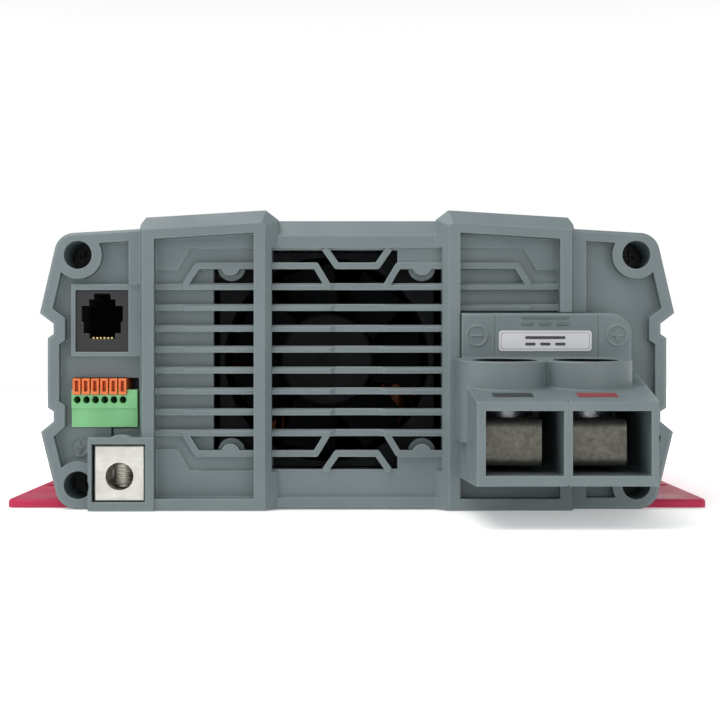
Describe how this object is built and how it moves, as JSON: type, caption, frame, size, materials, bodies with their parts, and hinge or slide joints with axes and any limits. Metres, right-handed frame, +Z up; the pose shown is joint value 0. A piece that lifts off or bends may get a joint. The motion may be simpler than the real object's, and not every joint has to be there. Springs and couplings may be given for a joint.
{
  "type": "power inverter",
  "caption": "Flanged vehicle power inverter with finned shell, louvred end bezels, shrouded battery terminals, fan, control terminals, remote socket and mains outlets.",
  "frame": {"origin": "centre of the footprint at the height of the mounting surface", "axes": "+Y from the battery-terminal end to the mains end, +X to the right seen from the battery end, +Z up out of the mounting surface"},
  "size_m": [0.196, 0.342, 0.0826],
  "materials": {
    "crimson_powder_coat": "satin powder coat",
    "grey_moulding": "fine moulded texture",
    "label_film": "satin film",
    "black_ink": "matt paint",
    "red_ink": "matt paint",
    "tinned_copper": "matt tin plate",
    "zinc_steel": "bright zinc plate",
    "black_screw": "black oxide",
    "black_moulding": "fine moulded texture",
    "gold_plate": "polished",
    "green_moulding": "moulded",
    "orange_moulding": "moulded",
    "fan_moulding": "glass-filled",
    "copper_winding": "enamelled wire",
    "ferrite": "sintered",
    "circuit_board": "solder mask",
    "capacitor_sleeve": "heat-shrunk sleeve",
    "mill_aluminium": "mill finish",
    "epoxy": "moulded epoxy",
    "fuse_plastic": "clear tinted",
    "fibre_sheet": "pressboard",
    "lamp_green": "clear",
    "lamp_red": "clear"
  },
  "bodies": {
    "chassis": {"ac_end_bezel": "grey_moulding", "ac_end_screws": "black_screw", "ac_outlet_lower": "black_moulding", "ac_outlet_upper": "black_moulding", "base_tray": "crimson_powder_coat", "blade_fuses": "fuse_plastic", "board_screws": "zinc_steel", "board_standoffs": "zinc_steel", "breaker_body": "black_moulding", "breaker_nut": "zinc_steel", "bus_capacitors": "capacitor_sleeve", "busbar_screws": "zinc_steel", "case_shell": "crimson_powder_coat", "choke_core": "ferrite", "choke_winding": "copper_winding", "control_card": "circuit_board", "dc_busbars": "tinned_copper", "dc_end_bezel": "grey_moulding", "dc_end_screws": "black_screw", "dc_terminal_shroud": "grey_moulding", "earth_lug": "tinned_copper", "earth_screw": "zinc_steel", "fan_frame": "fan_moulding", "fan_screws": "black_screw", "fan_stator": "copper_winding", "fault_lamp": "lamp_red", "heat_spreaders": "mill_aluminium", "input_capacitors": "capacitor_sleeve", "insulating_sheet": "fibre_sheet", "jack_contacts": "gold_plate", "main_board": "circuit_board", "negative_marker": "black_ink", "negative_terminal": "tinned_copper", "positive_marker": "red_ink", "positive_terminal": "tinned_copper", "power_lamp": "lamp_green", "power_transistors": "epoxy", "remote_jack": "black_moulding", "rocker_housing": "black_moulding", "terminal_bolts": "zinc_steel", "terminal_header": "black_moulding", "terminal_lock_washers": "zinc_steel", "terminal_nuts": "zinc_steel", "terminal_plug": "green_moulding", "terminal_washers": "zinc_steel", "transformer_cores": "ferrite", "transformer_windings": "copper_winding", "voltage_label": "label_film"},
    "fan_rotor": {"fan_rotor": "fan_moulding"},
    "power_rocker": {"power_rocker": "black_moulding"},
    "breaker_button": {"breaker_button": "black_moulding"},
    "wire_release_1": {"wire_release_1": "orange_moulding"},
    "wire_release_2": {"wire_release_2": "orange_moulding"},
    "wire_release_3": {"wire_release_3": "orange_moulding"},
    "wire_release_4": {"wire_release_4": "orange_moulding"},
    "wire_release_5": {"wire_release_5": "orange_moulding"},
    "wire_release_6": {"wire_release_6": "orange_moulding"}
  },
  "joints": [
    {"name": "fan_spin", "type": "hinge", "parent": "chassis", "child": "fan_rotor", "pos_m": [-0.0085, -0.099, 0.04133], "axis": [0, 1, 0], "continuous": true},
    {"name": "rocker_tilt", "type": "hinge", "parent": "chassis", "child": "power_rocker", "pos_m": [0.0715, 0.1635, 0.052], "axis": [1, 0, 0], "range_deg": [0, 20]},
    {"name": "breaker_reset", "type": "slide", "parent": "chassis", "child": "breaker_button", "axis": [0, 1, 0], "range_m": [0, 0.003]},
    {"name": "wire_release_1_press", "type": "slide", "parent": "chassis", "child": "wire_release_1", "axis": [0, 1, 0], "range_m": [0, 0.0012], "stiffness_N_per_m": 500},
    {"name": "wire_release_2_press", "type": "slide", "parent": "chassis", "child": "wire_release_2", "axis": [0, 1, 0], "range_m": [0, 0.0012], "stiffness_N_per_m": 500},
    {"name": "wire_release_3_press", "type": "slide", "parent": "chassis", "child": "wire_release_3", "axis": [0, 1, 0], "range_m": [0, 0.0012], "stiffness_N_per_m": 500},
    {"name": "wire_release_4_press", "type": "slide", "parent": "chassis", "child": "wire_release_4", "axis": [0, 1, 0], "range_m": [0, 0.0012], "stiffness_N_per_m": 500},
    {"name": "wire_release_5_press", "type": "slide", "parent": "chassis", "child": "wire_release_5", "axis": [0, 1, 0], "range_m": [0, 0.0012], "stiffness_N_per_m": 500},
    {"name": "wire_release_6_press", "type": "slide", "parent": "chassis", "child": "wire_release_6", "axis": [0, 1, 0], "range_m": [0, 0.0012], "stiffness_N_per_m": 500}
  ]
}
